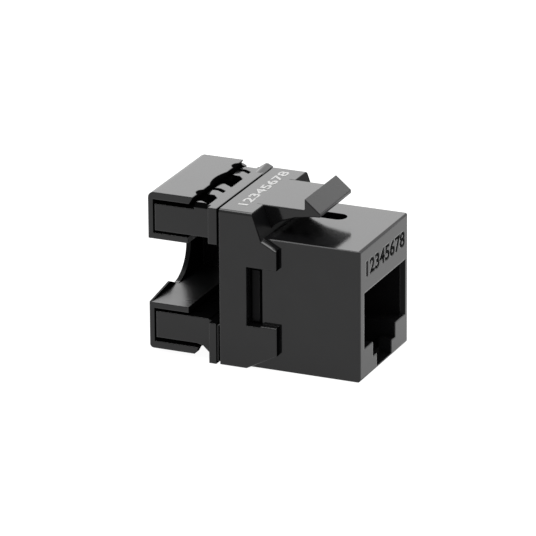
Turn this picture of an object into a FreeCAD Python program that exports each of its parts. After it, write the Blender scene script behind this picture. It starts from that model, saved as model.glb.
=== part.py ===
import FreeCAD, Part
import Sketcher
import os
import re

# Keystone jack for twisted-pair cable, in millimetres.
# +X points out of the plug port, +Z is up, the latch arm is on top.
# Every piece is drawn in stations: x = 0 is the front face and x falls towards the rear.
# The Placement of each piece then moves the middle of the length to the origin.

# Name, value, meaning. A value that starts with "=" is worked out from the others.
SIZES = [
    # Nose: the block that fills the panel opening
    ("nose_width", 14.5, "width of the nose"),
    ("nose_height", 16.0, "height of the nose"),
    # Collar: the wider frame behind the nose
    ("wing_reach", 0.85, "reach of the collar past the nose on each side"),
    ("collar_width", "=nose_width + 2 * wing_reach", "width over the collar"),
    ("plate_rise", 3.16, "rise of the top plate above the nose"),
    ("collar_height", "=nose_height + plate_rise", "height of the collar"),
    ("collar_back", 17.25, "front face to the back of the collar"),
    ("plate_front", 13.1, "front face to the front edge of the top plate"),
    ("shoulder_foot", 12.0, "front face to the foot of the sloping shoulder"),
    ("wing_front", 10.1, "front face to the panel stop on the side wings"),
    ("wing_bevel", 1.0, "drop of the bevel on top of each upper wing"),
    ("wing_toe", 2.0, "height of the toe under each lower wing"),
    ("heel_front", 13.95, "front face to the start of the sloping toe"),
    ("notch_height", 7.0, "height of the space between a lower and an upper wing"),
    ("notch_drop", 0.58, "middle of that space below the middle of the collar"),
    ("notch_floor", "=(collar_height - notch_height) / 2 - notch_drop", "height of the lower ledge"),
    ("notch_roof", "=notch_floor + notch_height", "height of the upper wing's underside"),
    ("edge_round", 0.3, "rounding of the nose's front edges"),
    ("collar_round", 0.4, "rounding of the top plate's side edges"),
    ("wing_round", 0.15, "rounding of the side wings' outer edges"),
    # Side windows that the rear housing snaps into
    ("window_back", 13.9, "front face to the back of the window"),
    ("window_front", 12.2, "front face to the front of the window"),
    ("window_height", 6.9, "height of the window"),
    ("window_drop", 0.83, "middle of the window below the middle of the collar"),
    ("window_floor", "=(collar_height - window_height) / 2 - window_drop", "its floor"),
    ("window_roof", "=window_floor + window_height", "height of the window's roof"),
    # Plug port
    ("port_width", 12.0, "width of the plug port"),
    ("port_roof", 10.55, "height of the port's roof"),
    ("port_floor", 3.7, "height of the port's floor"),
    ("port_depth", 12.0, "depth of the port"),
    ("lead_share", 0.36, "share of the port's side wall that its lead-in bevel takes"),
    ("port_lead", "=lead_share * (nose_width - port_width) / 2", "bevel on one side wall"),
    ("key_width", 6.8, "width of the step for the plug's latch"),
    ("key_floor", 1.9, "height of that step"),
    ("slot_width", 4.5, "width of the slot for the plug's lever"),
    ("slot_floor", 0.25, "thickness of the floor under that slot"),
    ("catch_wall", 1.7, "thickness of the wall that catches the plug's latch"),
    ("catch_floor", 0.7, "height of the floor behind the catch wall"),
    ("catch_depth", 9.0, "depth of the space behind the catch wall"),
    # Recesses inside the front housing
    ("bay_front", 14.8, "front face to the front of the board bay"),
    ("bay_wall", 1.2, "wall left around the board bay, side and top and bottom"),
    ("carrier_bay_width", 12.5, "width of the bay for the contact carrier"),
    ("carrier_bay_roof", 15.0, "height of that bay's roof"),
    ("tongue_bay_front", 3.0, "front face to the front of the tongue's recess"),
    ("tongue_bay_width", 9.8, "width of the tongue's recess"),
    ("tongue_bay_roof", 13.3, "height of the tongue's recess"),
    # Slot in the top of the nose
    ("top_slot_front", 5.95, "front face to the round front end of the slot"),
    ("top_slot_back", 10.6, "front face to the back end of the slot"),
    ("top_slot_width", 2.15, "width of the slot"),
    ("top_slot_side", 3.0, "middle of the jack to the middle of the slot"),
    ("top_slot_depth", 2.2, "depth of the slot"),
    # Latch arm
    ("arm_width", 9.35, "width of the latch arm"),
    ("arm_root_radius", 1.1, "radius of the arm's root"),
    ("arm_pivot", 12.6, "front face to the axis the arm bends about"),
    ("arm_neck", 9.2, "front face to the thin part of the arm"),
    ("arm_thickness", 1.1, "thickness of the arm at its neck"),
    ("hook_back", 8.0, "front face to the hook's catch face"),
    ("hook_height", 1.35, "height of the hook above the arm"),
    ("hook_front", 6.05, "front face to the hook's nose"),
    ("hook_lift", 0.4, "rise of the arm's underside from its neck to the hook's nose"),
    ("hook_nose_drop", 0.25, "top of the hook's nose below the arm's top"),
    ("hook_round", 0.18, "rounding of the hook's nose"),
    ("seat_opening", 1.0, "reach of the seat's opening past the shoulder's foot"),
    ("running_gap", 0.05, "clearance around the arm's root"),
    # Seam and rear housing
    ("seam_gap", 0.3, "gap between the collar and the rear flange"),
    ("flange_thickness", 1.45, "thickness of the rear flange"),
    ("flange_back", "=collar_back + seam_gap + flange_thickness", "front face to its back"),
    ("flange_upper_floor", 14.75, "underside of the upper flange"),
    ("flange_lower_roof", 5.0, "top of the lower flange"),
    ("flange_step", 0.35, "flange's wide ends stop short of its back"),
    ("flange_relief", 0.2, "lower flange further back from the collar"),
    ("seam_depth", 0.3, "depth of the seam beside the lower flange"),
    ("web_thickness", 0.7, "thickness of the plate that closes the collar"),
    ("fit_gap", 0.1, "clearance where a piece slides into another"),
    ("tower_length", 6.75, "length of the wire towers behind the flange"),
    ("tower_back", "=flange_back + tower_length", "front face to the back of the towers"),
    ("tower_inner", 5.0, "half the space between the towers"),
    ("tower_rise", 1.9, "underside of the towers above the underside of the collar"),
    ("tower_outer", "=(collar_height - tower_drop - tower_rise) / 2", "half their height"),
    ("tower_drop", 0.76, "top of the towers below the top plate"),
    ("tower_middle", "=collar_height - tower_drop - tower_outer", "height between the towers"),
    ("gusset_length", 0.8, "length of the gusset between the lower tower and its flange"),
    ("gusset_height", 0.75, "height of that gusset"),
    ("gusset_toe", 0.2, "height of its flat toe"),
    ("gusset_reach", 1.6, "flange to the end of that toe"),
    ("weld", 0.01, "overlap of two features of one piece that meet face to face"),
    ("overcut", 1.0, "how far a cut runs past the face it starts from"),
    # Wire guides on the upper tower
    ("guide_length", 1.75, "length of the wire guides behind the upper flange"),
    ("guide_back", "=flange_back + guide_length", "front face to the back of the guides"),
    ("guide_bevel", 0.5, "bevel along both sides of the guides"),
    ("guide_depth", 1.9, "depth of the openings between the guides"),
    ("guide_round", 0.4, "rounding of the guides' rear ends"),
    ("wire_pitch", "=nose_width / 4", "distance between neighbouring wires of a row"),
    ("mouth_far", 1.6, "wire to the far side of a wide opening"),
    ("mouth_near", 0.7, "wire to the near side of the first wide opening"),
    ("mouth_near_inner", 1.5, "wire to the near side of the second one"),
    ("mouth_flare", 0.85, "how much wider the near side is at the flange"),
    ("mouth_flare_length", 1.1, "length of that slanting near side"),
    ("mouth_cut", 0.8, "slanting corner on the far side, measured across"),
    ("mouth_cut_length", 0.7, "the same corner, measured along the jack"),
    ("slit_width", 0.65, "width of the narrow openings"),
    ("slit_bend", 0.95, "flange to the bend of a narrow opening"),
    ("slit_turn", 0.55, "sideways turn of its closed end"),
    ("slit_margin", 0.1, "flange to the closed end of a narrow opening"),
    ("wire_slot", 0.9, "width of the wire slots in the towers"),
    # Snap arms of the rear housing
    ("snap_inner", 5.2, "middle of the jack to the inside of a snap arm"),
    ("snap_front", 12.35, "front face to the tip of a snap arm"),
    ("snap_reach", 7.0, "middle of the jack to the tip of the snap tooth"),
    ("snap_tip", 0.3, "snap arm's tip inside the side of the carrier bay"),
    ("snap_lead", 0.35, "length of the bevel on the snap tooth"),
    ("snap_play", 0.3, "clearance behind the snap tooth"),
    ("snap_margin", 0.3, "snap arm narrower than its window, above and below"),
    # Circuit board
    ("bay_play", 0.4, "clearance in front of the board"),
    ("board_front", "=bay_front + bay_play", "front face to the front of the board"),
    ("board_thickness", 1.2, "thickness of the board"),
    ("board_hole", 0.75, "diameter of the plated holes"),
    # Punch-down contacts
    ("blade_thickness", 0.4, "thickness of a punch-down contact"),
    ("blade_width", 1.5, "width of its fork"),
    ("blade_inset", 1.35, "back of the towers to the open end of the fork"),
    ("blade_back", "=tower_back - blade_inset", "front face to the open end of the fork"),
    ("blade_shoulder", 0.8, "flange to where the fork narrows to its tail"),
    ("blade_slit", 0.3, "width of the slit that bites the wire"),
    ("blade_mouth", 0.9, "width of that slit at its open end"),
    ("blade_lead", 0.7, "length of the slit's widening"),
    ("fork_depth", 3.2, "length of the slit"),
    ("blade_depth", 1.45, "inner face of a tower to the middle of its contacts"),
    ("blade_level", "=tower_inner + blade_depth", "middle of the towers to the contacts"),
    ("tail_width", 0.5, "width of the tail"),
    ("tail_proud", 0.25, "reach of the tail past the board"),
    # Contact carrier and port contacts
    ("carrier_play", 0.3, "back of the carrier to the board bay"),
    ("carrier_back", "=bay_front - carrier_play", "front face to the back of the carrier"),
    ("tongue_front", 3.95, "front face to the tip of the carrier's tongue"),
    ("tongue_width", 9.2, "width of the tongue"),
    ("tongue_top", 12.6, "height of the tongue's top"),
    ("tongue_thickness", 1.2, "thickness of the tongue"),
    ("tongue_round", 0.54, "rounding of the tongue's tip"),
    ("comb_sill", 1.0, "height of the comb's sill above the port's floor"),
    ("comb_lintel", 0.3, "top of the comb below the tongue"),
    ("comb_depth", 0.6, "depth of the comb"),
    ("contact_pitch", 1.02, "distance between port contacts"),
    ("contact_wire", 0.4, "side of the port contacts' square wire"),
    ("contact_bend", 3.55, "front face to the bend of the port contacts"),
    ("contact_turn", 10.95, "height where the contacts turn back"),
    ("contact_tip", 10.8, "front face to the free end of the contacts"),
    ("contact_tip_height", 8.4, "height of the free end of the contacts"),
    ("contact_run", "=tongue_top + contact_wire / 2", "height of the contacts on the tongue"),
    ("row_rise", 1.4, "rise of every other contact to the upper row of holes"),
    ("row_step", 1.2, "board bay to the middle of that rise"),
    ("row_slope", 1.0, "length of that rise"),
    # Rear cap
    ("cap_gap", 0.25, "towers to the cap's rear wall"),
    ("cap_wall", 0.6, "thickness of the cap's rear and side walls"),
    ("cap_back", "=tower_back + cap_gap + cap_wall", "front face to the back of the cap"),
    ("cap_play", 0.55, "clearance between the towers' outer faces and the cap"),
    ("cap_skin", 0.85, "thickness of the arms' outer walls"),
    ("cap_outer", "=tower_outer + cap_play + cap_skin", "half the height over the cap"),
    ("cap_rest", 0.35, "clearance between the towers' inner faces and the cap"),
    ("cap_lining", 0.7, "thickness of the arms' inner walls"),
    ("cap_inner", "=tower_inner - cap_rest - cap_lining", "half the space between its arms"),
    ("cap_round", 0.7, "rounding of the cap's upper rear corner"),
    ("cap_round_lower", 0.45, "rounding of its lower rear corner"),
    ("cap_reveal", 1.9, "flange to the front of the arms' outer walls"),
    ("cap_front", "=flange_back + cap_reveal", "front face to the front of the outer walls"),
    ("lining_inset", 0.7, "front of the inner walls behind the outer ones"),
    ("cap_lining_front", "=cap_front + lining_inset", "front face to the inner walls' front"),
    ("cap_slope", 0.5, "how far the outer walls' front ends slope"),
    ("cap_scoop", 5.0, "width of the scoop in the front edge"),
    ("cap_scoop_depth", 0.5, "depth of the scoop"),
    ("cap_nick_place", 5.1, "middle of the jack to the small nicks"),
    ("cap_nick_width", 1.7, "width of the small nicks"),
    ("cable_side", -0.75, "middle of the jack to the middle of the cable notch"),
    ("cable_radius", 3.95, "radius of the cable notch"),
    ("lip_inner", -0.3, "middle of the jack to the foot of the notch's teeth"),
    ("lip_tip", -2.0, "middle of the jack to the tips of the notch's teeth"),
    ("lip_height", 0.75, "height of those teeth above the arms"),
]

doc = FreeCAD.newDocument("keystone_jack")
sheet = doc.addObject("Spreadsheet::Sheet", "Sizes")
for row, (name, value, meaning) in enumerate(SIZES, start=1):
    sheet.setAlias(f"B{row}", name)
for row, (name, value, meaning) in enumerate(SIZES, start=1):
    sheet.set(f"A{row}", name)
    sheet.set(f"B{row}", str(value))
    sheet.set(f"C{row}", meaning)
doc.recompute()
NAMES = {name for name, value, meaning in SIZES}


def bound(text):
    """The expression with each size's name written as a cell of the sheet."""
    return re.sub(
        r"[a-z_]+", lambda m: "Sizes." + m.group() if m.group() in NAMES else m.group(), text
    )


def number(text):
    """The value that an expression has now."""
    return float(sheet.evalExpression(bound(text)))


# ---- Sketches and features -------------------------------------------------------------


def new_body(label):
    body = doc.addObject("PartDesign::Body", label)
    body.Label = label
    body.setExpression("Placement.Base.x", bound("cap_back / 2"))
    return body


def new_sketch(body, plane, offset="0"):
    """A sketch on one of the body's origin planes, moved along the plane's normal."""
    sketch = body.newObject("Sketcher::SketchObject", "Sketch")
    support = next(f for f in body.Origin.OriginFeatures if f.Role == plane)
    sketch.AttachmentSupport = (support, [""])
    sketch.MapMode = "FlatFace"
    if offset != "0":
        sketch.setExpression("AttachmentOffset.Base.z", bound(offset))
    return sketch


def fix(sketch, geometry, vertex, across, up):
    """Holds a vertex at two expressions, measured from the sketch's origin."""
    for kind, text, axis in (("DistanceX", across, -2), ("DistanceY", up, -1)):
        if text == "0":
            sketch.addConstraint(Sketcher.Constraint("PointOnObject", geometry, vertex, axis))
            continue
        index = sketch.addConstraint(
            Sketcher.Constraint(kind, -1, 1, geometry, vertex, number(text))
        )
        sketch.setExpression(f"Constraints[{index}]", bound(text))


def outline(sketch, points):
    """A closed outline of straight lines through points given as pairs of expressions."""
    corners = [FreeCAD.Vector(number(across), number(up), 0) for across, up in points]
    ends = corners[1:] + corners[:1]
    first = sketch.GeometryCount
    for start, end in zip(corners, ends):
        sketch.addGeometry(Part.LineSegment(start, end))
    count = len(points)
    for i, (across, up) in enumerate(points):
        after = first + (i + 1) % count
        sketch.addConstraint(Sketcher.Constraint("Coincident", first + i, 2, after, 1))
        fix(sketch, first + i, 1, across, up)


def rectangle(sketch, left, right, low, high):
    outline(sketch, [(left, low), (right, low), (right, high), (left, high)])


def circle(sketch, across, up, radius):
    middle = FreeCAD.Vector(number(across), number(up), 0)
    index = sketch.addGeometry(Part.Circle(middle, FreeCAD.Vector(0, 0, 1), number(radius)))
    fix(sketch, index, 3, across, up)
    constraint = sketch.addConstraint(Sketcher.Constraint("Radius", index, number(radius)))
    sketch.setExpression(f"Constraints[{constraint}]", bound(radius))


def extrude(kind, body, sketch, length, both_ways=False, reverse=False):
    """A Pad or Pocket of the sketch. Its change of volume is checked."""
    before = body.Shape.Volume if body.Tip else 0.0
    feature = body.newObject("PartDesign::" + kind, kind)
    feature.Profile = sketch
    feature.setExpression("Length", bound(length))
    feature.Midplane = both_ways
    feature.Reversed = reverse
    doc.recompute()
    change = body.Shape.Volume - before
    if (change <= 0) if kind == "Pad" else (change >= 0):
        raise RuntimeError(f"{body.Label}: {feature.Name} changes nothing")
    return feature


def pad(body, sketch, length, **how):
    return extrude("Pad", body, sketch, length, **how)


def pocket(body, sketch, length, **how):
    return extrude("Pocket", body, sketch, length, **how)


def dress(kind, body, size, wanted):
    """A Fillet or Chamfer on every edge of the body for which wanted(edge) is true."""
    base = body.Tip
    edges = [f"Edge{i}" for i, e in enumerate(base.Shape.Edges, start=1) if wanted(e)]
    if not edges:
        raise RuntimeError(f"{body.Label}: no edge to dress")
    feature = body.newObject("PartDesign::" + kind, kind)
    feature.Base = (base, edges)
    feature.setExpression("Radius" if kind == "Fillet" else "Size", bound(size))
    doc.recompute()
    return feature


def near(a, b):
    return abs(a - b) < 1e-4


def along(edge, axis):
    """Whether a straight edge runs along the axis, given as x, y or z."""
    if not isinstance(edge.Curve, Part.Line):
        return False
    return near(abs(getattr(edge.Curve.Direction, axis)), 1)


# ---- Front housing: nose, collar and wings in one moulding -------------------------------


def front_housing():
    body = new_body("front_housing")

    nose = new_sketch(body, "YZ_Plane")
    rectangle(nose, "-nose_width / 2", "nose_width / 2", "0", "nose_height")
    pad(body, nose, "collar_back", reverse=True)

    collar = new_sketch(body, "XZ_Plane")
    outline(
        collar,
        [
            ("-collar_back", "0"),
            ("-heel_front", "0"),
            ("-wing_front", "wing_toe"),
            ("-wing_front", "notch_floor"),
            ("-window_back", "notch_floor"),
            ("-window_back", "notch_roof"),
            ("-wing_front", "notch_roof"),
            ("-wing_front", "nose_height - wing_bevel"),
            ("-shoulder_foot", "nose_height"),
            ("-plate_front", "collar_height"),
            ("-collar_back", "collar_height"),
        ],
    )
    pad(body, collar, "collar_width", both_ways=True)

    def on_side(edge):
        box = edge.BoundBox
        return near(box.YMin, box.YMax) and near(abs(box.YMin), number("collar_width / 2"))

    def plate_edge(edge):
        return on_side(edge) and near(edge.BoundBox.ZMin, number("collar_height"))

    def wing_edge(edge):
        in_front = edge.BoundBox.XMax > -number("collar_back - wing_round")
        return on_side(edge) and in_front and edge.BoundBox.ZMin < number("nose_height")

    def front_edge(edge):
        return near(edge.BoundBox.XMin, 0) and near(edge.BoundBox.XMax, 0)

    dress("Fillet", body, "collar_round", plate_edge)
    dress("Fillet", body, "wing_round", wing_edge)
    dress("Fillet", body, "edge_round", front_edge)

    # Plug port with its stepped floor
    port = new_sketch(body, "YZ_Plane")
    rectangle(port, "-port_width / 2", "port_width / 2", "port_floor", "port_roof")
    pocket(body, port, "port_depth")

    def lead_edge(edge):
        box = edge.BoundBox
        return along(edge, "z") and near(box.XMin, 0) and near(box.YMin, number("port_width / 2"))

    dress("Chamfer", body, "port_lead", lead_edge)
    key = new_sketch(body, "YZ_Plane")
    rectangle(key, "-key_width / 2", "key_width / 2", "key_floor", "port_floor + weld")
    pocket(body, key, "catch_depth")
    slot = new_sketch(body, "YZ_Plane")
    rectangle(slot, "-slot_width / 2", "slot_width / 2", "slot_floor", "key_floor + weld")
    pocket(body, slot, "catch_wall + weld")
    catch = new_sketch(body, "XZ_Plane")
    rectangle(catch, "-catch_depth", "-catch_wall", "catch_floor", "key_floor + weld")
    pocket(body, catch, "key_width", both_ways=True)

    # Recesses for the carrier, its tongue and the board, open to the rear
    bay = new_sketch(body, "XZ_Plane")
    rectangle(bay, "-collar_back", "-bay_front", "bay_wall", "collar_height - bay_wall")
    pocket(body, bay, "collar_width - 2 * bay_wall", both_ways=True)
    carrier_bay = new_sketch(body, "XZ_Plane")
    rectangle(carrier_bay, "-bay_front - weld", "-port_depth", "port_floor", "carrier_bay_roof")
    pocket(body, carrier_bay, "carrier_bay_width", both_ways=True)
    tongue_bay = new_sketch(body, "XZ_Plane")
    rectangle(
        tongue_bay,
        "-port_depth - weld",
        "-tongue_bay_front",
        "port_roof - weld",
        "tongue_bay_roof",
    )
    pocket(body, tongue_bay, "tongue_bay_width", both_ways=True)

    # Snap windows through both side walls
    window = new_sketch(body, "XZ_Plane")
    rectangle(window, "-window_back", "-window_front", "window_floor", "window_roof")
    pocket(body, window, "collar_width + overcut", both_ways=True)

    # Slot with a round front end in the top of the nose
    top_slot = new_sketch(body, "XY_Plane", "nose_height")
    rectangle(
        top_slot,
        "-top_slot_back",
        "-top_slot_front - top_slot_width / 2",
        "top_slot_side - top_slot_width / 2",
        "top_slot_side + top_slot_width / 2",
    )
    pocket(body, top_slot, "top_slot_depth")
    slot_end = new_sketch(body, "XY_Plane", "nose_height")
    circle(slot_end, "-top_slot_front - top_slot_width / 2", "top_slot_side", "top_slot_width / 2")
    pocket(body, slot_end, "top_slot_depth")

    # Seat of the latch arm: a round socket, open to the front
    seat = new_sketch(body, "XZ_Plane")
    circle(
        seat, "-arm_pivot", "collar_height - arm_root_radius", "arm_root_radius + running_gap"
    )
    pocket(body, seat, "arm_width + 2 * running_gap", both_ways=True)
    opening = new_sketch(body, "XZ_Plane")
    rectangle(
        opening,
        "-arm_pivot",
        "-shoulder_foot + seat_opening",
        "collar_height - 2 * arm_root_radius - running_gap",
        "collar_height + overcut",
    )
    pocket(body, opening, "arm_width + 2 * running_gap", both_ways=True)
    return body


# ---- Latch arm ---------------------------------------------------------------------------


def latch_arm():
    body = new_body("latch_arm")
    profile = new_sketch(body, "XZ_Plane")
    outline(
        profile,
        [
            ("-arm_pivot", "collar_height - 2 * arm_root_radius"),
            ("-arm_neck", "collar_height - arm_thickness"),
            ("-hook_front", "collar_height - arm_thickness + hook_lift"),
            ("-hook_front", "collar_height - hook_nose_drop"),
            ("-hook_back", "collar_height + hook_height"),
            ("-hook_back", "collar_height"),
            ("-arm_pivot", "collar_height"),
        ],
    )
    pad(body, profile, "arm_width", both_ways=True)
    root = new_sketch(body, "XZ_Plane")
    circle(root, "-arm_pivot", "collar_height - arm_root_radius", "arm_root_radius")
    pad(body, root, "arm_width", both_ways=True)

    def nose_edge(edge):
        return along(edge, "y") and near(edge.BoundBox.XMax, -number("hook_front"))

    dress("Fillet", body, "hook_round", nose_edge)
    return body


# ---- Contact carrier and port contacts -----------------------------------------------------


def contact_carrier():
    """A block behind the port with a tongue that the contacts wrap round."""
    body = new_body("contact_carrier")
    block = new_sketch(body, "XZ_Plane")
    rectangle(block, "-carrier_back", "-port_depth - fit_gap", "port_floor + fit_gap", "tongue_top")
    pad(body, block, "carrier_bay_width - 2 * fit_gap", both_ways=True)
    tongue = new_sketch(body, "XZ_Plane")
    rectangle(
        tongue,
        "-port_depth - overcut",
        "-tongue_front",
        "tongue_top - tongue_thickness",
        "tongue_top",
    )
    pad(body, tongue, "tongue_width", both_ways=True)

    # The snap arms pass on both sides of the block
    for side in ("-1", "1"):
        relief = new_sketch(body, "XY_Plane", "window_floor")
        inner = f"{side} * (snap_inner - fit_gap)"
        outer = f"{side} * (carrier_bay_width / 2)"
        left, right = (outer, inner) if side == "-1" else (inner, outer)
        rectangle(relief, "-carrier_back - overcut", "-port_depth + overcut", left, right)
        pocket(body, relief, "window_roof - window_floor", reverse=True)

    # Comb that the free ends of the contacts move in
    comb = new_sketch(body, "YZ_Plane", "-port_depth - fit_gap")
    for place in contact_places():
        rectangle(
            comb,
            f"{place} - contact_wire",
            f"{place} + contact_wire",
            "port_floor + comb_sill",
            "tongue_top - tongue_thickness - comb_lintel",
        )
    pocket(body, comb, "comb_depth")

    def tip(edge):
        return along(edge, "y") and near(edge.BoundBox.XMax, -number("tongue_front"))

    dress("Fillet", body, "tongue_round", tip)
    return body


def contact_places():
    """Expressions for the middle of each port contact, from one side to the other."""
    return [f"(({i} - 3.5) * contact_pitch)" for i in range(8)]


def port_contact(index):
    """Square wire: from the board over the tongue, round its tip and back into the port."""
    body = new_body(f"port_contact_{index + 1}")
    place = contact_places()[index]
    path = new_sketch(body, "XZ_Plane", f"-{place}")
    end = "-board_front - board_thickness - fit_gap"
    stations = [(end, "contact_run")]
    if index % 2:
        stations = [
            (end, "contact_run + row_rise"),
            ("-bay_front + row_step - row_slope / 2", "contact_run + row_rise"),
            ("-bay_front + row_step + row_slope / 2", "contact_run"),
        ]
    stations += [
        ("-contact_bend", "contact_run"),
        ("-contact_bend", "contact_turn"),
        ("-contact_tip", "contact_tip_height"),
    ]
    corners = [FreeCAD.Vector(number(across), number(up), 0) for across, up in stations]
    for start, end in zip(corners, corners[1:]):
        path.addGeometry(Part.LineSegment(start, end))
    for i in range(len(corners) - 1):
        fix(path, i, 1, *stations[i])
        if i:
            path.addConstraint(Sketcher.Constraint("Coincident", i - 1, 2, i, 1))
    fix(path, len(corners) - 2, 2, *stations[-1])
    section = new_sketch(body, "YZ_Plane", stations[0][0])
    rectangle(
        section,
        f"{place} - contact_wire / 2",
        f"{place} + contact_wire / 2",
        f"{stations[0][1]} - contact_wire / 2",
        f"{stations[0][1]} + contact_wire / 2",
    )
    pipe = body.newObject("PartDesign::AdditivePipe", "Pipe")
    pipe.Profile = section
    pipe.Spine = (path, [f"Edge{i + 1}" for i in range(len(corners) - 1)])
    pipe.Transition = "Round corner"
    doc.recompute()
    return body


def port_contacts():
    return [port_contact(i) for i in range(8)]


# ---- Circuit board ---------------------------------------------------------------------------


def wire_places():
    """Expressions for the middle of each wire of a row, from one side to the other."""
    return [f"(({i} - 1.5) * wire_pitch)" for i in range(4)]


def blade_places():
    """Expressions (across, up) for the eight punch-down contacts, lower row first."""
    levels = ("tower_middle - blade_level", "tower_middle + blade_level")
    return [(across, level) for level in levels for across in wire_places()]


def circuit_board():
    body = new_body("circuit_board")
    half = "(collar_width / 2 - bay_wall - fit_gap)"
    board = new_sketch(body, "YZ_Plane", "-board_front")
    notch_side = "(snap_inner - fit_gap)"
    low, high = "window_floor", "window_roof"
    bottom, top = "bay_wall + fit_gap", "collar_height - bay_wall - fit_gap"
    outline(
        board,
        [
            (f"-{half}", bottom),
            (half, bottom),
            (half, low),
            (notch_side, low),
            (notch_side, high),
            (half, high),
            (half, top),
            (f"-{half}", top),
            (f"-{half}", high),
            (f"-{notch_side}", high),
            (f"-{notch_side}", low),
            (f"-{half}", low),
        ],
    )
    pad(body, board, "board_thickness", reverse=True)
    holes = new_sketch(body, "YZ_Plane", "-board_front")
    for i, place in enumerate(contact_places()):
        row = "contact_run + row_rise" if i % 2 else "contact_run"
        circle(holes, place, row, "board_hole / 2")
    for across, up in blade_places():
        circle(holes, across, up, "board_hole / 2")
    pocket(body, holes, "board_thickness + overcut")
    return body


# ---- Rear housing: web, flanges, wire towers and snap arms -------------------------------------


def rear_housing():
    body = new_body("rear_housing")
    inside = "(collar_width / 2 - bay_wall - fit_gap)"
    low, high = "bay_wall + fit_gap", "collar_height - bay_wall - fit_gap"

    web = new_sketch(body, "YZ_Plane", "-collar_back + web_thickness")
    rectangle(web, f"-{inside}", inside, low, high)
    pad(body, web, "web_thickness", reverse=True)

    # Flanges above and below the cable space, each on a neck across the seam
    necks = new_sketch(body, "YZ_Plane", "-collar_back")
    rectangle(necks, f"-{inside}", inside, low, "flange_lower_roof")
    rectangle(necks, f"-{inside}", inside, "flange_upper_floor", high)
    pad(body, necks, "seam_gap + flange_relief + weld", reverse=True)
    rim = new_sketch(body, "YZ_Plane", "-collar_back - seam_gap")
    rim_side = "(collar_width / 2 - seam_depth)"
    rectangle(rim, f"-{rim_side}", rim_side, "seam_depth", "flange_lower_roof - seam_depth")
    pad(body, rim, "flange_relief + weld", reverse=True)
    for front, floor, roof in (
        ("-collar_back - seam_gap - flange_relief", "0", "flange_lower_roof"),
        ("-collar_back - seam_gap", "flange_upper_floor", "collar_height"),
    ):
        flange = new_sketch(body, "XY_Plane", floor)
        outline(
            flange,
            [
                (front, "-collar_width / 2"),
                (front, "collar_width / 2"),
                ("-flange_back + flange_step", "collar_width / 2"),
                ("-flange_back + flange_step", "nose_width / 2"),
                ("-flange_back", "nose_width / 2"),
                ("-flange_back", "-nose_width / 2"),
                ("-flange_back + flange_step", "-nose_width / 2"),
                ("-flange_back + flange_step", "-collar_width / 2"),
            ],
        )
        pad(body, flange, f"{roof} - {floor}")

    # Towers, with a gusset where the lower one's outer face meets its flange
    for sign in ("-", "+"):
        tower = new_sketch(body, "XZ_Plane")
        inner = f"tower_middle {sign} tower_inner"
        outer = f"tower_middle {sign} tower_outer"
        points = [("-flange_back + weld", inner), ("-tower_back", inner), ("-tower_back", outer)]
        if sign == "-":
            points += [
                ("-flange_back - gusset_reach", outer),
                ("-flange_back - gusset_length", f"{outer} - gusset_toe"),
                ("-flange_back", f"{outer} - gusset_toe - gusset_height"),
                ("-flange_back + weld", f"{outer} - gusset_toe - gusset_height"),
            ]
        else:
            points += [("-flange_back + weld", outer)]
        outline(tower, points)
        pad(body, tower, "nose_width", both_ways=True)

    # Wire guides behind the upper flange, flush with its top
    guides = new_sketch(body, "YZ_Plane", "-flange_back + weld")
    outline(
        guides,
        [
            ("-nose_width / 2", "tower_middle + tower_inner + weld"),
            ("nose_width / 2", "tower_middle + tower_inner + weld"),
            ("nose_width / 2", "collar_height - guide_bevel"),
            ("nose_width / 2 - guide_bevel", "collar_height"),
            ("-nose_width / 2 + guide_bevel", "collar_height"),
            ("-nose_width / 2", "collar_height - guide_bevel"),
        ],
    )
    pad(body, guides, "guide_length + weld", reverse=True)

    # Snap arms with a ramped tooth, one on each side
    root = "-collar_back + web_thickness - weld"
    for side in ("-1", "1"):
        arm = new_sketch(body, "XY_Plane", "window_floor + snap_margin")
        thick = f"{side} * (carrier_bay_width / 2 - fit_gap)"
        outline(
            arm,
            [
                (root, f"{side} * snap_inner"),
                ("-snap_front", f"{side} * snap_inner"),
                ("-snap_front", f"{side} * (carrier_bay_width / 2 - snap_tip)"),
                ("-snap_front - snap_lead", f"{side} * snap_reach"),
                ("-window_back + snap_play", f"{side} * snap_reach"),
                ("-window_back + snap_play", thick),
                (root, thick),
            ],
        )
        pad(body, arm, "window_roof - window_floor - 2 * snap_margin")

    # A slot for each wire, open to the rear
    slots = new_sketch(body, "YZ_Plane", "-guide_back")
    for across, up in blade_places():
        rectangle(
            slots,
            f"{across} - wire_slot / 2",
            f"{across} + wire_slot / 2",
            f"{up} - tower_outer + tower_inner",
            f"{up} + tower_outer - tower_inner",
        )
    pocket(body, slots, "tower_length - guide_length + overcut")

    # Openings between the guides: wide ones with a slanting corner, narrow ones with a bend
    openings = new_sketch(body, "XY_Plane", "collar_height")
    rear = "-tower_back - overcut"
    for place, reach in zip(wire_places()[0::2], ("mouth_near", "mouth_near_inner")):
        near_side, far_side = f"{place} - {reach}", f"{place} + mouth_far"
        outline(
            openings,
            [
                ("-flange_back", f"{near_side} - mouth_flare"),
                ("-flange_back", f"{far_side} - mouth_cut"),
                ("-flange_back - mouth_cut_length", far_side),
                (rear, far_side),
                (rear, near_side),
                ("-flange_back - mouth_flare_length", near_side),
            ],
        )
    for place in wire_places()[1::2]:
        near_side, far_side = f"{place} - slit_width / 2", f"{place} + slit_width / 2"
        outline(
            openings,
            [
                (rear, near_side),
                ("-flange_back - slit_bend", near_side),
                ("-flange_back - slit_margin", f"{near_side} - slit_turn"),
                ("-flange_back - slit_margin", f"{far_side} - slit_turn"),
                ("-flange_back - slit_bend", far_side),
                (rear, far_side),
            ],
        )
    pocket(body, openings, "guide_depth")

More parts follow.
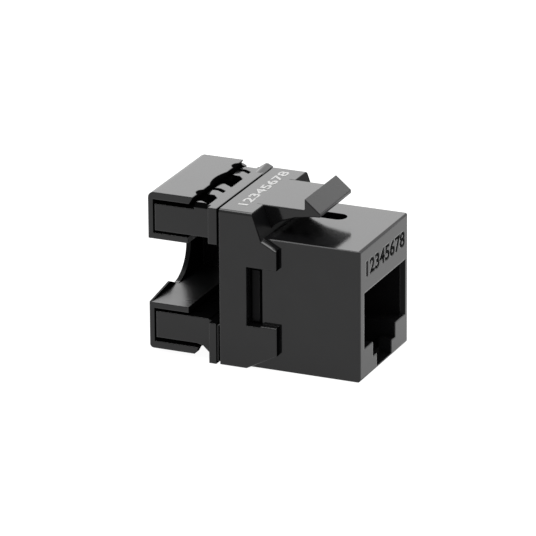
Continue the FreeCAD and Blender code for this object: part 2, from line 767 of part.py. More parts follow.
    def guide_end(edge):
        box = edge.BoundBox
        inside = abs(box.YMin) < number("nose_width / 2 - mouth_cut")
        above = box.ZMin > number("tower_middle + tower_outer - weld")
        return along(edge, "z") and near(box.XMin, -number("guide_back")) and inside and above

    dress("Fillet", body, "guide_round", guide_end)

    # Seats of the punch-down contacts, through the web into the towers
    seats = new_sketch(body, "YZ_Plane", "-collar_back + web_thickness")
    half_width = "(blade_width / 2 + running_gap)"
    half_height = "(blade_thickness / 2 + running_gap)"
    for across, up in blade_places():
        rectangle(
            seats,
            f"{across} - {half_width}",
            f"{across} + {half_width}",
            f"{up} - {half_height}",
            f"{up} + {half_height}",
        )
    pocket(body, seats, "blade_back + fit_gap - collar_back + web_thickness")
    return body


def punch_contact(index):
    """Flat fork that bites the wire, with a tail that runs through the board."""
    body = new_body(f"punch_contact_{index + 1}")
    across, up = blade_places()[index]
    blade = new_sketch(body, "XY_Plane", up)
    near_side = [
        ("-board_front + tail_proud", "tail_width / 2"),
        ("-flange_back - blade_shoulder", "tail_width / 2"),
        ("-flange_back - blade_shoulder", "blade_width / 2"),
        ("-blade_back", "blade_width / 2"),
        ("-blade_back", "blade_mouth / 2"),
        ("-blade_back + blade_lead", "blade_slit / 2"),
        ("-blade_back + fork_depth", "blade_slit / 2"),
    ]
    points = [(along_x, f"{across} - {offset}") for along_x, offset in near_side]
    points += [(along_x, f"{across} + {offset}") for along_x, offset in reversed(near_side)]
    outline(blade, points)
    pad(body, blade, "blade_thickness", both_ways=True)
    return body


def punch_contacts():
    return [punch_contact(i) for i in range(8)]


# ---- Rear cap: two channels over the towers, joined by a notched wall --------------------------


def notched_outline(sketch, corners):
    """A closed outline whose two points without a height are joined by the cable notch's arc."""
    middle = FreeCAD.Vector(number("cable_side"), number("tower_middle"), 0)
    radius = number("cable_radius")
    drop = (radius**2 - (number("lip_inner") - middle.x) ** 2) ** 0.5
    heights = iter((middle.y + drop, middle.y - drop))
    points = [
        FreeCAD.Vector(number(across), number(up) if up else next(heights), 0)
        for across, up in corners
    ]
    count = len(points)
    for i in range(count):
        start, end = points[i], points[(i + 1) % count]
        if corners[i][1] is None and corners[(i + 1) % count][1] is None:
            far = FreeCAD.Vector(middle.x + radius, middle.y, 0)
            sketch.addGeometry(Part.Arc(start, far, end))
            arc = i
        else:
            sketch.addGeometry(Part.LineSegment(start, end))
    for i, (across, up) in enumerate(corners):
        after = (i + 1) % count
        # The arc runs counter-clockwise, so its ends are swapped
        here = 1 if i == arc else 2
        there = 2 if after == arc else 1
        sketch.addConstraint(Sketcher.Constraint("Coincident", i, here, after, there))
        if up:
            fix(sketch, i, 1, across, up)
    fix(sketch, arc, 3, "cable_side", "tower_middle")
    for vertex in (1, 2):
        index = sketch.addConstraint(
            Sketcher.Constraint("DistanceX", -1, 1, arc, vertex, number("lip_inner"))
        )
        sketch.setExpression(f"Constraints[{index}]", bound("lip_inner"))
    index = sketch.addConstraint(Sketcher.Constraint("Radius", arc, radius))
    sketch.setExpression(f"Constraints[{index}]", bound("cable_radius"))


def rear_cap():
    body = new_body("rear_cap")
    side = "nose_width / 2"
    low, high = "tower_middle - cap_outer", "tower_middle + cap_outer"
    floor, roof = "tower_middle - cap_inner", "tower_middle + cap_inner"

    wall = new_sketch(body, "YZ_Plane", "-cap_back")
    corners = [
        (f"-{side}", low),
        (side, low),
        (side, high),
        (f"-{side}", high),
        (f"-{side}", roof),
        ("lip_tip", f"{roof} - lip_height"),
        ("lip_inner", None),
        ("lip_inner", None),
        ("lip_tip", f"{floor} + lip_height"),
        (f"-{side}", floor),
    ]
    notched_outline(wall, corners)
    pad(body, wall, "cap_wall")

    channels = new_sketch(body, "XZ_Plane")
    inside = "-cap_back + cap_wall - weld"
    for sign in ("-1", "1"):
        outer = f"tower_middle + {sign} * cap_outer"
        inner = f"tower_middle + {sign} * cap_inner"
        outline(
            channels,
            [
                (inside, outer),
                ("-cap_front", outer),
                (f"-cap_front - {sign} * cap_slope", f"{outer} - {sign} * cap_skin"),
                (inside, f"{outer} - {sign} * cap_skin"),
            ],
        )
        outline(
            channels,
            [
                (inside, inner),
                ("-cap_lining_front", inner),
                ("-cap_lining_front", f"{inner} + {sign} * cap_lining"),
                (inside, f"{inner} + {sign} * cap_lining"),
            ],
        )
    pad(body, channels, "nose_width", both_ways=True)

    far_wall = new_sketch(body, "YZ_Plane", inside)
    rectangle(far_wall, f"{side} - cap_wall", side, f"{floor} - weld", f"{roof} + weld")
    pad(body, far_wall, "cap_back - cap_wall - cap_lining_front")

    def rear_corner(height):
        def rule(edge):
            box = edge.BoundBox
            return along(edge, "y") and near(box.XMax, -number("cap_back")) and near(box.ZMin, number(height))

        return rule

    dress("Fillet", body, "cap_round", rear_corner(high))
    dress("Fillet", body, "cap_round_lower", rear_corner(low))

    # Scoop and nicks along the front edges of the outer walls
    scoop_radius = "((cap_scoop / 2) ^ 2 + cap_scoop_depth ^ 2) / (2 * cap_scoop_depth)"
    nick_radius = "((cap_nick_width / 2) ^ 2 + cap_scoop_depth ^ 2) / (2 * cap_scoop_depth)"
    scoops = new_sketch(body, "XY_Plane", "-overcut")
    circle(scoops, f"-cap_front - cap_scoop_depth + {scoop_radius}", "0", scoop_radius)
    for nick in ("-cap_nick_place", "cap_nick_place"):
        circle(scoops, f"-cap_front - cap_scoop_depth + {nick_radius}", nick, nick_radius)
    pocket(body, scoops, "2 * tower_middle + 2 * cap_outer", reverse=True)
    return body


nodes = [front_housing(), latch_arm(), contact_carrier(), *port_contacts(), circuit_board()]
nodes += [rear_housing(), *punch_contacts(), rear_cap()]
doc.recompute()

for obj in doc.Objects:
    if "Invalid" in obj.State or "Error" in obj.State:
        raise RuntimeError(f"{obj.Label} failed: {obj.State}")
for node in nodes:
    if node.Shape.isNull() or not node.Shape.isValid():
        raise RuntimeError(f"{node.Label} has no valid shape")

os.makedirs("parts", exist_ok=True)
for node in nodes:
    node.Shape.exportStep(os.path.join("parts", node.Label + ".step"))
    print(node.Label, round(node.Shape.Volume, 2), "mm3,", len(node.Shape.Solids), "solids")
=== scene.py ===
import math

import bmesh
import bpy
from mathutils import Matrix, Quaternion, Vector


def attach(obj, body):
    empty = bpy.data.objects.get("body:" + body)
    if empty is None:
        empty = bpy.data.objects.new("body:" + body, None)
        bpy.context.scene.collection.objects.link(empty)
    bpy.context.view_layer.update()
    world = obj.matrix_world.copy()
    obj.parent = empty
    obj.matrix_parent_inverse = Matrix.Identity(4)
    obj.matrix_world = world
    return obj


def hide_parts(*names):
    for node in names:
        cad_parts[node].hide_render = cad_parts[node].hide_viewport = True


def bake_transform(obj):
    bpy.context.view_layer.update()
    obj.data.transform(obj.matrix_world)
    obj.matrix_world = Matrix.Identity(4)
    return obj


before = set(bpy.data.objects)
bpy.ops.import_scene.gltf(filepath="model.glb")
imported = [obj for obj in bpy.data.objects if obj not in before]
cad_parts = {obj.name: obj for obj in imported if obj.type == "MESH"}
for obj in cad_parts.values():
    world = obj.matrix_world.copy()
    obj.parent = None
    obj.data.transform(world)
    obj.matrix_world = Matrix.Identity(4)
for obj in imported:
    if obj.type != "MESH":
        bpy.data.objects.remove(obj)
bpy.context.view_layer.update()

scene = bpy.context.scene

# ---- Sizes, in millimetres ----
# x is a station: 0 at the front face and negative behind it. y and z are the scene's own.
MM = 0.001
SHIFT = 13.3  # from the front face to the scene's origin
NOSE_SIDE = 7.25  # half the width of the nose
NOSE_TOP = 16.0
COLLAR_SIDE = 8.1  # half the width over the collar and its wings
PLATE_TOP = 19.16  # top of the collar's plate, flush with the latch arm
ARM_SIDE = 4.675  # half the width of the latch arm
ARM_BACK = -13.9  # back end of the arm, inside the plate
ARM_SOCKET = 16.9  # underside of the arm at that end
WING_TOP = 5.5  # top of the lower wings
REAR_FRONT = -17.3  # just behind the collar, in front of the rear flanges
CAP_WALL = -25.9  # just in front of the rear cap's end wall
CAP_FLOOR = 6.19  # just under the floor of the cable's space in the rear cap
NEAR = 0.1  # a face this close to a size counts as lying there
WELD = 0.002  # corners closer than this become one
NUMBERS = "12345678"


def at(x, y, z):
    """The scene's point for a station, a side and a height."""
    return Vector((x + SHIFT, y, z)) * MM


def measured(point):
    """The station, side and height of a point of the scene."""
    return point / MM - Vector((SHIFT, 0, 0))


# ---- Camera ----
CAMERA_PLACE = (231.18, -528.63, 221.90)
CAMERA_AIM = (-1.180, -0.423, 9.739)
CAMERA_ROLL = -0.414  # degrees
LENS = 354.11


def put(obj, place, target, roll=0.0):
    """Links the object at place, with its -Z axis towards target, rolled by that many degrees."""
    turn = (target - place).to_track_quat("-Z", "Y")
    obj.location = place
    obj.rotation_mode = "QUATERNION"
    obj.rotation_quaternion = turn @ Quaternion((0, 0, 1), math.radians(roll))
    scene.collection.objects.link(obj)


view = bpy.data.cameras.new("camera")
view.sensor_width = 36.0
view.lens = LENS
view.clip_start = 0.01
camera = bpy.data.objects.new("camera", view)
put(camera, Vector(CAMERA_PLACE) * MM, Vector(CAMERA_AIM) * MM, CAMERA_ROLL)
scene.camera = camera
scene.view_settings.view_transform = "Standard"


# ---- Shader helpers ----
def feed(tree, target, inputs):
    """Sets the node's inputs. Each gets a value, or a socket that is linked to it."""
    for name, value in inputs.items():
        if isinstance(value, bpy.types.NodeSocket):
            tree.links.new(value, target.inputs[name])
        else:
            target.inputs[name].default_value = value


def node(tree, kind, inputs, **settings):
    """A new node of that kind, with those settings and inputs."""
    made = tree.nodes.new("ShaderNode" + kind)
    for name, value in settings.items():
        setattr(made, name, value)
    feed(tree, made, inputs)
    return made


def noise(tree, where, scale, detail, rough=0.5):
    """Noise with about that many features a metre."""
    inputs = {"Vector": where, "Scale": scale, "Detail": detail, "Roughness": rough}
    return node(tree, "TexNoise", inputs).outputs["Fac"]


def stretched(tree, where, scale):
    """The place on the object, with each axis multiplied by its own scale."""
    return node(tree, "Mapping", {"Vector": where, "Scale": scale}).outputs["Vector"]


def spread(tree, source, low, high, start=0.3, end=0.7):
    """A value that goes from low to high as the source goes from start to end."""
    inputs = {"Value": source, "From Min": start, "From Max": end, "To Min": low, "To Max": high}
    return node(tree, "MapRange", inputs).outputs["Result"]


def toned(tree, source, dark, light, end, start=0.3):
    """A colour that goes from dark to light as the source goes from start to end."""
    ramp = node(tree, "ValToRGB", {"Fac": source})
    for stop, position, colour in zip(ramp.color_ramp.elements, (start, end), (dark, light)):
        stop.position = position
        stop.color = (*colour, 1)
    return ramp.outputs["Color"]


# ---- Lights ----
HORIZON = 0.30  # brightness of the room at the horizon and below
CEILING = 0.70
HORIZON_HEIGHT = 0.15  # how far up the darker part reaches
LIT_POINT = Vector((0, 0, 0.01))  # the softboxes face this point

world = bpy.data.worlds.new("world")
scene.world = world
world.use_nodes = True
sky = world.node_tree
toward = node(sky, "TexCoord", {}).outputs["Generated"]
upward = node(sky, "SeparateXYZ", {"Vector": toward}).outputs["Z"]
room = spread(sky, upward, HORIZON, CEILING, 0.0, HORIZON_HEIGHT)
feed(sky, sky.nodes["Background"], {"Color": (1, 1, 1, 1), "Strength": room})


def softbox(name, direction, distance, size, radiance):
    """A rectangular light seen from the object in that direction, with that brightness.

    Its distance and size are in metres."""
    light = bpy.data.lights.new(name, "AREA")
    light.shape = "RECTANGLE"
    light.size, light.size_y = size
    light.energy = math.pi * size[0] * size[1] * radiance
    place = LIT_POINT + Vector(direction).normalized() * distance
    put(bpy.data.objects.new(name, light), place, LIT_POINT)


softbox("back_softbox", (-0.236, 0.882, 0.527), 1.3, (2.4, 1.1), 1.55)  # mirrored by flat tops
softbox("top_softbox", (-0.10, 0.12, 0.98), 1.0, (1.0, 0.6), 5.5)  # mirrored by the bevels


# ---- Materials ----
def blank(name):
    """A new material, its node tree, its shader and the place on the object."""
    material = bpy.data.materials.new(name)
    material.use_nodes = True
    tree = material.node_tree
    where = node(tree, "TexCoord", {}).outputs["Object"]
    return material, tree, tree.nodes["Principled BSDF"], where


def moulded(name, tones, gloss, edge, ior):
    """Moulded plastic: colour and gloss drift slowly over it, and its skin has a fine grain.

    Its edges catch the light as if rounded by edge, in millimetres."""
    material, tree, shader, where = blank(name)
    drift = noise(tree, where, 260.0, 4.0, 0.55)
    grain = noise(tree, where, 9000.0, 2.0)
    streak = noise(tree, stretched(tree, where, (260.0, 260.0, 1700.0)), 1.0, 3.0)
    half = node(tree, "Math", {0: streak, 1: 0.5}, operation="MULTIPLY").outputs["Value"]
    both = node(tree, "Math", {0: drift, 1: 0.5, 2: half}, operation="MULTIPLY_ADD")
    bump = node(tree, "Bump", {"Strength": 0.25, "Distance": 0.006 * MM, "Height": grain})
    feed(tree, shader, {
        "Base Color": toned(tree, drift, *tones, end=0.72),
        "Roughness": spread(tree, both.outputs["Value"], *gloss),
        "IOR": ior,
        "Normal": bump.outputs["Normal"],
    })
    if edge:
        corner = node(tree, "Bevel", {"Radius": edge * MM}, samples=8)
        feed(tree, bump, {"Normal": corner.outputs["Normal"]})
    return material


def plated(name, tones, gloss):
    """Plated sheet metal with faint lengthwise drawing lines and slightly duller patches."""
    material, tree, shader, where = blank(name)
    drawn = noise(tree, stretched(tree, where, (400.0, 9000.0, 9000.0)), 1.0, 2.0)
    patches = noise(tree, where, 900.0, 3.0, 0.6)
    bump = node(tree, "Bump", {"Strength": 0.2, "Distance": 0.004 * MM, "Height": drawn})
    feed(tree, shader, {
        "Base Color": toned(tree, patches, *tones, end=0.65),
        "Metallic": 1.0,
        "Roughness": spread(tree, drawn, *gloss),
        "Normal": bump.outputs["Normal"],
    })
    return material


def laminate(name):
    """Green solder mask over a woven glass board."""
    material, tree, shader, where = blank(name)
    threads = {"Color1": (0.012, 0.105, 0.040, 1), "Color2": (0.016, 0.125, 0.050, 1)}
    weave = node(tree, "TexChecker", {"Vector": where, "Scale": 2600.0, **threads})
    drift = noise(tree, where, 300.0, 3.0)
    mask = {
        "Factor": spread(tree, drift, 0.0, 0.6),
        "A": weave.outputs["Color"],
        "B": (0.010, 0.085, 0.032, 1),
    }
    mix = node(tree, "Mix", mask, data_type="RGBA")
    feed(tree, shader, {
        "Base Color": mix.outputs["Result"],
        "Roughness": spread(tree, drift, 0.28, 0.42),
    })
    return material


def paint(name, tones, rough, scale, glow=0.0):
    """Matt paint or ink with a faint mottle; glow is how brightly it shines by itself."""
    material, tree, shader, where = blank(name)
    mottle = noise(tree, where, scale, 4.0, 0.6)
    feed(tree, shader, {
        "Base Color": toned(tree, mottle, *tones, end=0.7),
        "Roughness": rough,
        "Emission Color": (1, 1, 1, 1),
        "Emission Strength": glow,
    })
    return material


# Each pair of tones is the darkest and the lightest that the surface shows.
BLACK = ((0.0045, 0.0045, 0.0048), (0.0065, 0.0065, 0.0068))
# Painted shade: darker tones of the same plastic, for faces that lie in shade.
PAINTED_SHADE_BLACK = ((0.0030, 0.0030, 0.0032), (0.0045, 0.0045, 0.0048))
# Painted shade: near-black tones of the same plastic, for faces deep in shade.
PAINTED_DEEP_SHADE_BLACK = ((0.0018, 0.0018, 0.0019), (0.0026, 0.0026, 0.0027))
INSERT_BLACK = ((0.0030, 0.0030, 0.0030), (0.0045, 0.0045, 0.0045))
GOLD = ((0.70, 0.47, 0.17), (0.86, 0.62, 0.26))
TIN = ((0.55, 0.55, 0.54), (0.74, 0.74, 0.72))
WHITE = ((0.30, 0.30, 0.297), (0.38, 0.38, 0.376))
PALE_FLOOR = ((0.115, 0.115, 0.115), (0.125, 0.125, 0.125))
GLOSS = (0.08, 0.13)

PLASTICS = {  # tones, range of roughness, rounding of the edges in mm, index of refraction
    "black_plastic": (BLACK, GLOSS, 0.22, 1.4),
    "black_plastic_flat": (BLACK, GLOSS, 0.0, 1.4),
    "black_satin": (BLACK, (0.26, 0.34), 0.0, 1.4),
    # painted shade: a rougher copy with a weaker reflection, for the hook's slope
    "black_rough_shaded": (BLACK, (0.2, 0.3), 0.1, 1.33),
    # painted shade: a copy with a weaker reflection, for the bevel along the nose's front top edge
    "black_shaded_edge": (BLACK, (0.14, 0.2), 0.0, 1.22),
    # painted shade: near black and almost without reflection, for faces deep in shade
    "black_painted_deep_shade": (PAINTED_DEEP_SHADE_BLACK, (0.5, 0.65), 0.0, 1.01),
    # painted shade: darker and with a weaker reflection, for faces in shade
    "black_painted_shade": (PAINTED_SHADE_BLACK, (0.3, 0.45), 0.06, 1.15),
    "insert_plastic": (INSERT_BLACK, (0.38, 0.5), 0.06, 1.2),
}
looks = {name: moulded(name, *values) for name, values in PLASTICS.items()}
looks["contact_gold"] = plated("contact_gold", GOLD, (0.14, 0.28))
looks["contact_tin"] = plated("contact_tin", TIN, (0.2, 0.38))
looks["board_laminate"] = laminate("board_laminate")
looks["white_ink"] = paint("white_ink", WHITE, 0.55, 2500.0)
looks["floor_paint"] = paint("floor_paint", PALE_FLOOR, 0.9, 30.0, glow=0.96)

# ---- Floor ----
FLOOR_SIDE = 3.0  # half the floor's width, in metres
corners = [(a * FLOOR_SIDE, b * FLOOR_SIDE, 0) for a, b in ((-1, -1), (1, -1), (1, 1), (-1, 1))]
floor_mesh = bpy.data.meshes.new("floor")
floor_mesh.from_pydata(corners, [], [(0, 1, 2, 3)])
floor_mesh.materials.append(looks["floor_paint"])
floor = bpy.data.objects.new("floor", floor_mesh)
scene.collection.objects.link(floor)


# ---- Building helpers ----
def add(name, mesh, look):
    """A new object with that mesh, in one look."""
    obj = bpy.data.objects.new(name, mesh)
    scene.collection.objects.link(obj)
    mesh.materials.clear()
    mesh.materials.append(looks[look])
    return obj


def written(bm, name):
    """A new mesh of what bm holds. bm is freed."""
    mesh = bpy.data.meshes.new(name)
    bm.to_mesh(mesh)
    bm.free()
    return mesh


def free_copy(node_name, look):
    """A copy of a CAD node's mesh, welded, without edges inside its flat faces."""
    bm = bmesh.new()
    bm.from_mesh(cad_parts[node_name].data)
    bmesh.ops.remove_doubles(bm, verts=bm.verts, dist=WELD * MM)
    flat = math.radians(0.4)
    bmesh.ops.dissolve_limit(bm, angle_limit=flat, verts=bm.verts, edges=bm.edges, delimit=set())
    name = node_name + "_skin"
    mesh = written(bm, name)
    custom = mesh.attributes.get("custom_normal")
    if custom:  # shaded works out new ones
        mesh.attributes.remove(custom)
    return add(name, mesh, look)


def prism(name, outline, low, high):
    """A closed prism from side low to side high: outline holds (station, height) pairs."""
    bm = bmesh.new()
    first = [bm.verts.new(at(x, low, z)) for x, z in outline]
    last = [bm.verts.new(at(x, high, z)) for x, z in outline]
    bm.faces.new(first)
    bm.faces.new(last[::-1])
    for i in range(len(outline)):
        j = (i + 1) % len(outline)
        bm.faces.new((first[j], first[i], last[i], last[j]))
    bmesh.ops.recalc_face_normals(bm, faces=bm.faces)
    return written(bm, name)


def slab(x_low, x_high, y_low, y_high, z_low, z_high):
    """A box between those stations, sides and heights."""
    outline = [(x_low, z_low), (x_high, z_low), (x_high, z_high), (x_low, z_high)]
    return prism("slab", outline, y_low, y_high)


def settled(obj):
    """A mesh of the object as its modifiers leave it."""
    bpy.context.view_layer.update()
    deps = bpy.context.evaluated_depsgraph_get()
    return bpy.data.meshes.new_from_object(obj.evaluated_get(deps))


def apply_modifiers(obj):
    """Makes the object's mesh what its modifiers leave."""
    mesh = settled(obj)
    obj.modifiers.clear()
    obj.data = mesh


def carve(obj, mesh, crossing=False):
    """Cuts the mesh out of the object; crossing says that the mesh's own faces cross."""
    tool = bpy.data.objects.new("tool", mesh)
    scene.collection.objects.link(tool)
    cut = obj.modifiers.new("carve", "BOOLEAN")
    cut.operation = "DIFFERENCE"
    cut.object = tool
    cut.solver = "EXACT"
    cut.use_self = crossing
    apply_modifiers(obj)
    bpy.data.objects.remove(tool)


def chamfer(obj, start, end, facing, depth):
    """Cuts the edge from start to end down to a plane that faces that way, depth below the edge."""
    reach = 0.6  # how far the cutting block goes beside and above the edge
    start, end, facing = Vector(start), Vector(end), Vector(facing).normalized()
    side = (end - start).normalized().cross(facing)
    bm = bmesh.new()
    for point in (start, end):
        for across in (-reach, reach):
            for up in (-depth, reach):
                bm.verts.new(at(*(point + side * across + facing * up)))
    bmesh.ops.convex_hull(bm, input=bm.verts)
    bmesh.ops.recalc_face_normals(bm, faces=bm.faces)
    carve(obj, written(bm, "chamfer"))


def rounded(obj, width, spared):
    """Rounds the object's sharp edges by width, in millimetres, apart from those that pass spared.

    That test gets an edge's two ends. No edge is rounded by more than its faces have room for."""
    sharp = math.radians(28.0)
    room_share = 0.42  # of a face's depth behind the edge
    bm = bmesh.new()
    bm.from_mesh(obj.data)
    weight = bm.edges.layers.float.new("bevel_weight_edge")
    for e in bm.edges:
        a, b = (measured(v.co) for v in e.verts)
        if len(e.link_faces) != 2 or e.calc_face_angle(0.0) < sharp or spared(a, b):
            e[weight] = 0.0
            continue
        run = (b - a).normalized()
        wanted = width
        for face in e.link_faces:
            inward = face.normal.cross(run)
            depth = max(abs((measured(v.co) - a).dot(inward)) for v in face.verts)
            wanted = min(wanted, room_share * depth)
        e[weight] = wanted / width
    bm.to_mesh(obj.data)
    bm.free()
    bevel = obj.modifiers.new("bevel", "BEVEL")
    bevel.width = width * MM
    bevel.segments = 3
    bevel.limit_method = "WEIGHT"
    bevel.use_clamp_overlap = False
    bevel.miter_outer = "MITER_ARC"
    apply_modifiers(obj)


def shaded(obj):
    """Shades the object smooth, apart from its sharp edges."""
    sharp = math.radians(33.0)
    bm = bmesh.new()
    bm.from_mesh(obj.data)
    for face in bm.faces:
        face.smooth = True
    for e in bm.edges:
        e.smooth = len(e.link_faces) == 2 and e.calc_face_angle(0.0) < sharp
    bm.to_mesh(obj.data)
    bm.free()
    normals = obj.modifiers.new("normals", "WEIGHTED_NORMAL")
    normals.keep_sharp = True
    normals.weight = 60
    apply_modifiers(obj)


def finish_faces(obj, look, *tests):
    """Gives the faces that pass one of the tests another look.

    A test gets the face's centre, as station, side and height, and its normal."""
    obj.data.materials.append(looks[look])
    for face in obj.data.polygons:
        if any(test(measured(face.center), face.normal) for test in tests):
            face.material_index = len(obj.data.materials) - 1


def lettering(length, height, depth, place, up, bold):
    """A mesh of the numbers, centred on place, that reads along y and stands up along up.

    Bold widens its strokes by that share of the letters' size."""
    curve = bpy.data.curves.new("text", "FONT")
    curve.body = NUMBERS
    curve.size = 1.0
    curve.resolution_u = 4
    curve.extrude = 0.5
    curve.offset = bold
    text = bpy.data.objects.new("text", curve)
    scene.collection.objects.link(text)
    mesh = settled(text)
    bpy.data.objects.remove(text)
    low = [min(v.co[i] for v in mesh.vertices) for i in range(3)]
    high = [max(v.co[i] for v in mesh.vertices) for i in range(3)]
    across, up = Vector((0, 1, 0)), Vector(up)
    axes = (across * length, up * height, across.cross(up) * depth)
    for v in mesh.vertices:
        point = Vector(place)
        for i, axis in enumerate(axes):
            point += axis * ((v.co[i] - (low[i] + high[i]) / 2) / (high[i] - low[i]))
        v.co = at(*point)
    bm = bmesh.new()
    bm.from_mesh(mesh)
    bmesh.ops.remove_doubles(bm, verts=bm.verts, dist=WELD * MM)
    bmesh.ops.recalc_face_normals(bm, faces=bm.faces)
    return written(bm, "numbers")


def stand_in(skin, node_name, body):
    """Puts the skin in the CAD node's place, on that body."""
    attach(skin, body)
    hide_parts(node_name)


def plate_top(c, n):
    """The plate's top, which the latch arm and the rear flange continue, and its rounded sides."""
    top = n.z > 0.999 and abs(c.z - PLATE_TOP) < 0.01
    return top or (abs(c.y) > NOSE_SIDE + NEAR and c.z > 18.6)


# ---- Front housing ----
SIDE_EDGE = (0, -0.55, 0.835)  # the way the bevels between a top and the near side face
EDGES = [  # start, end, the way the cut faces, depth
    # sloping top of the near upper wing
    ((-12.0, -COLLAR_SIDE, NOSE_TOP), (-9.8, -COLLAR_SIDE, 14.842), (0.408, -0.482, 0.776), 0.2),
    # near top edge of the nose
    ((-11.2, -NOSE_SIDE, NOSE_TOP), (0.2, -NOSE_SIDE, NOSE_TOP), SIDE_EDGE, 0.09),
    # front top edge of the nose
    ((0.0, -7.6, NOSE_TOP), (0.0, 7.6, NOSE_TOP), (1, 0, 1), 0.155),
    # top edge of the near lower wing
    ((-13.3, -COLLAR_SIDE, WING_TOP), (-10.0, -COLLAR_SIDE, WING_TOP), SIDE_EDGE, 0.12),
]


def nose_skin(c, n):
    """The nose's top and its two sides."""
    square = n.z > 0.99 or abs(n.y) > 0.99
    return c.x > -10.0 and square and (abs(c.y) > NOSE_SIDE - NEAR or c.z > NOSE_TOP - NEAR)


def nose_brow(c, n):
    """The bevel between the nose's top and front."""
    return n.x > 0.7 and n.z > 0.7 and c.z > NOSE_TOP - 0.3


def shoulder(c, n):
    """The slope from the plate down to the nose."""
    return n.x > 0.3 and c.z > NOSE_TOP + 0.02 and c.x < -9.0


def port_lead(c, n):
    """The bevel round the plug port."""
    return 0.15 < n.x < 0.97 and abs(c.y) < 7.0 and c.z < 12.0


def wing_front(c, n):
    """The faces of the wings that stop the jack at the panel."""
    return n.x > 0.9 and abs(c.y) > NOSE_SIDE and -11.0 < c.x < -7.5


front = free_copy("front_housing", "black_plastic")
ROOM_FRONT = -11.0  # clear of the shoulder's foot
arm_room = slab(ARM_BACK, ROOM_FRONT, -ARM_SIDE, ARM_SIDE, ARM_SOCKET, PLATE_TOP + 0.24)
carve(front, arm_room)  # the arm's root fills it
engraved = lettering(
    length=11.6, height=1.95, depth=0.6, place=(0.0, 0.4, 13.3), up=(0, 0, 1), bold=0.03
)
carve(front, engraved, crossing=True)
for edge in EDGES:
    chamfer(front, *edge)
shaded(front)
finish_faces(front, "black_plastic_flat", plate_top, nose_skin)
# Painted shade: the nose's brow bevel gets a copy with a weaker reflection.
finish_faces(front, "black_shaded_edge", nose_brow)
# Painted shade on the shoulder under the arm and on the port's bevel.
finish_faces(front, "black_painted_shade", shoulder, port_lead)
# Painted shade on the wings' front faces.
finish_faces(front, "black_painted_deep_shade", wing_front)
stand_in(front, "front_housing", "jack")

# ---- Numbers printed on the plate ----
printed = lettering(
    length=12.6, height=1.25, depth=0.04, place=(-15.3, 0.55, PLATE_TOP), up=(-1, 0, 0), bold=0.02
)
wire_numbers = add("wire_numbers", printed, "white_ink")
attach(wire_numbers, "jack")

# ---- Latch arm: runs out of the housing in one piece ----
ARM_LINE = [
    (-8.0, PLATE_TOP),
    (-8.0, 20.51),  # the catch behind the hook
    (-6.05, 18.91),
    (-6.05, 18.46),
    (-6.72, 18.44),
    (-8.53, 18.15),
    (-9.21, 18.04),
    (-10.75, 17.46),
    (-11.0, 17.32),
    (-11.7, 16.98),
    (-12.05, 16.6),
    (-12.24, 16.2),
    (ARM_BACK, ARM_SOCKET),
    (ARM_BACK, PLATE_TOP),
]
ROOT_END = -11.6  # the arm's edges wholly behind this run on into the plate and are not rounded


def at_root(a, b):
    """An edge that runs on into the plate."""
    return max(a.x, b.x) < ROOT_END


def hook_face(c, n):
    """The slope that the panel's edge pushes on."""
    return n.x > 0.5 and n.z > 0.5


arm_mesh = prism("latch_arm_skin", ARM_LINE, -ARM_SIDE, ARM_SIDE)
arm = add("latch_arm_skin", arm_mesh, "black_plastic")
rounded(arm, 0.12, at_root)
shaded(arm)
finish_faces(arm, "black_plastic_flat", plate_top)
# Painted shade: the hook's slope gets a rougher, dimmer copy of the plastic.
finish_faces(arm, "black_rough_shaded", hook_face)
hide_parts("latch_arm")
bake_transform(arm)

# ---- Small forms on the far side of the rear housing ----
HUMP_LINE = [
    (-18.95, 18.9),
    (-18.91, 19.11),
    (-18.58, 19.35),
    (-18.32, 19.48),
    (-18.07, 19.47),
    (-17.81, 19.34),
    (-17.5, 19.2),
    (-17.45, 18.9),
]
HUMP_NEAR = 5.0  # the side where the hump starts
HUMP_FOOT = 19.12  # its height there
RIB_SIDES = (6.7, 7.2)
RIB_LINE = [
    (-21.9, 18.1),
    (-21.9, 19.45),
    (-20.9, 19.4),
    (-20.5, 19.2),
    (-20.4, 18.1),
]

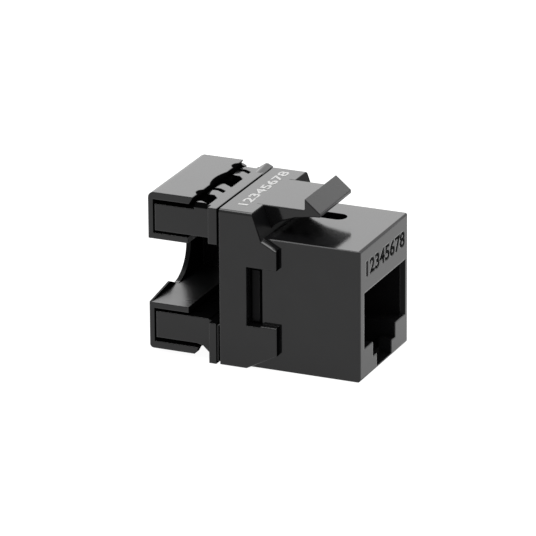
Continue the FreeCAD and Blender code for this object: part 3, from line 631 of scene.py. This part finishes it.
hump_mesh = prism("flange_hump", HUMP_LINE, HUMP_NEAR, COLLAR_SIDE)
for v in hump_mesh.vertices:  # it slopes down to the flange on its near side
    if v.co.y / MM < (HUMP_NEAR + COLLAR_SIDE) / 2:
        v.co.z = min(v.co.z, HUMP_FOOT * MM)
hump = add("flange_hump", hump_mesh, "black_plastic")
rib = add("far_rib", prism("far_rib", RIB_LINE, *RIB_SIDES), "black_plastic")
for piece in (hump, rib):
    shaded(piece)
    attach(piece, "jack")


# ---- Rear housing ----
def towers(c, n):
    """The wire slots and the cable space, apart from the flange's top."""
    top = n.z > 0.9 and c.z > PLATE_TOP - 0.26
    return c.x < REAR_FRONT and abs(c.y) < 7.0 and c.z > 1.5 and not top


def snap_tooth(c, n):
    """The near side of the snap arms, seen through the window."""
    return c.x > -17.0 and n.y < -0.5


rear = free_copy("rear_housing", "black_plastic")
shaded(rear)
# Painted shade in the wire slots and the cable space.
finish_faces(rear, "black_painted_deep_shade", towers)
# Painted shade on the snap arms seen through the window.
finish_faces(rear, "black_painted_shade", snap_tooth)
stand_in(rear, "rear_housing", "jack")


# ---- Rear cap ----
def forward(c, n):
    """Every face of the cap that looks towards the jack."""
    return n.x > 0.5


def arch(c, n):
    """The thickness of the end wall, round the cable notch."""
    return c.x < CAP_WALL and abs(n.x) < 0.1 and abs(c.y) < 6.9 and 6.25 < c.z < 14.0


def wall_inside(c, n):
    """The inner face of the end wall, and the forward faces below the notch's floor."""
    return n.x > 0.5 and (c.x < CAP_WALL + 0.9 or c.z < CAP_FLOOR + NEAR)


def notch_floor(c, n):
    """The floor that the cable lies on."""
    return n.z > 0.9 and abs(c.z - CAP_FLOOR) < NEAR


cap = free_copy("rear_cap", "black_plastic")
behind_teeth = slab(CAP_WALL - 0.45, CAP_WALL, -7.4, -0.3, CAP_FLOOR, 7.5)
carve(cap, behind_teeth)  # the teeth are thinner than the wall
shaded(cap)
# Painted shade on the cap's faces towards the jack and round the notch.
finish_faces(cap, "black_painted_shade", forward, arch)
# Painted shade: near black on the end wall's inner face and below the notch's floor.
finish_faces(cap, "black_painted_deep_shade", wall_inside)
finish_faces(cap, "black_satin", notch_floor)
stand_in(cap, "rear_cap", "cap")

# ---- Contact carrier ----
carrier = free_copy("contact_carrier", "insert_plastic")
shaded(carrier)
stand_in(carrier, "contact_carrier", "jack")

# ---- Pieces that keep their CAD mesh ----
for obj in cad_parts.values():
    slot = obj.data.materials[0].name if obj.data.materials else "black_plastic"
    key = next((k for k in looks if slot.startswith(k)), "black_plastic")
    for material_slot in obj.material_slots:
        material_slot.material = looks[key]
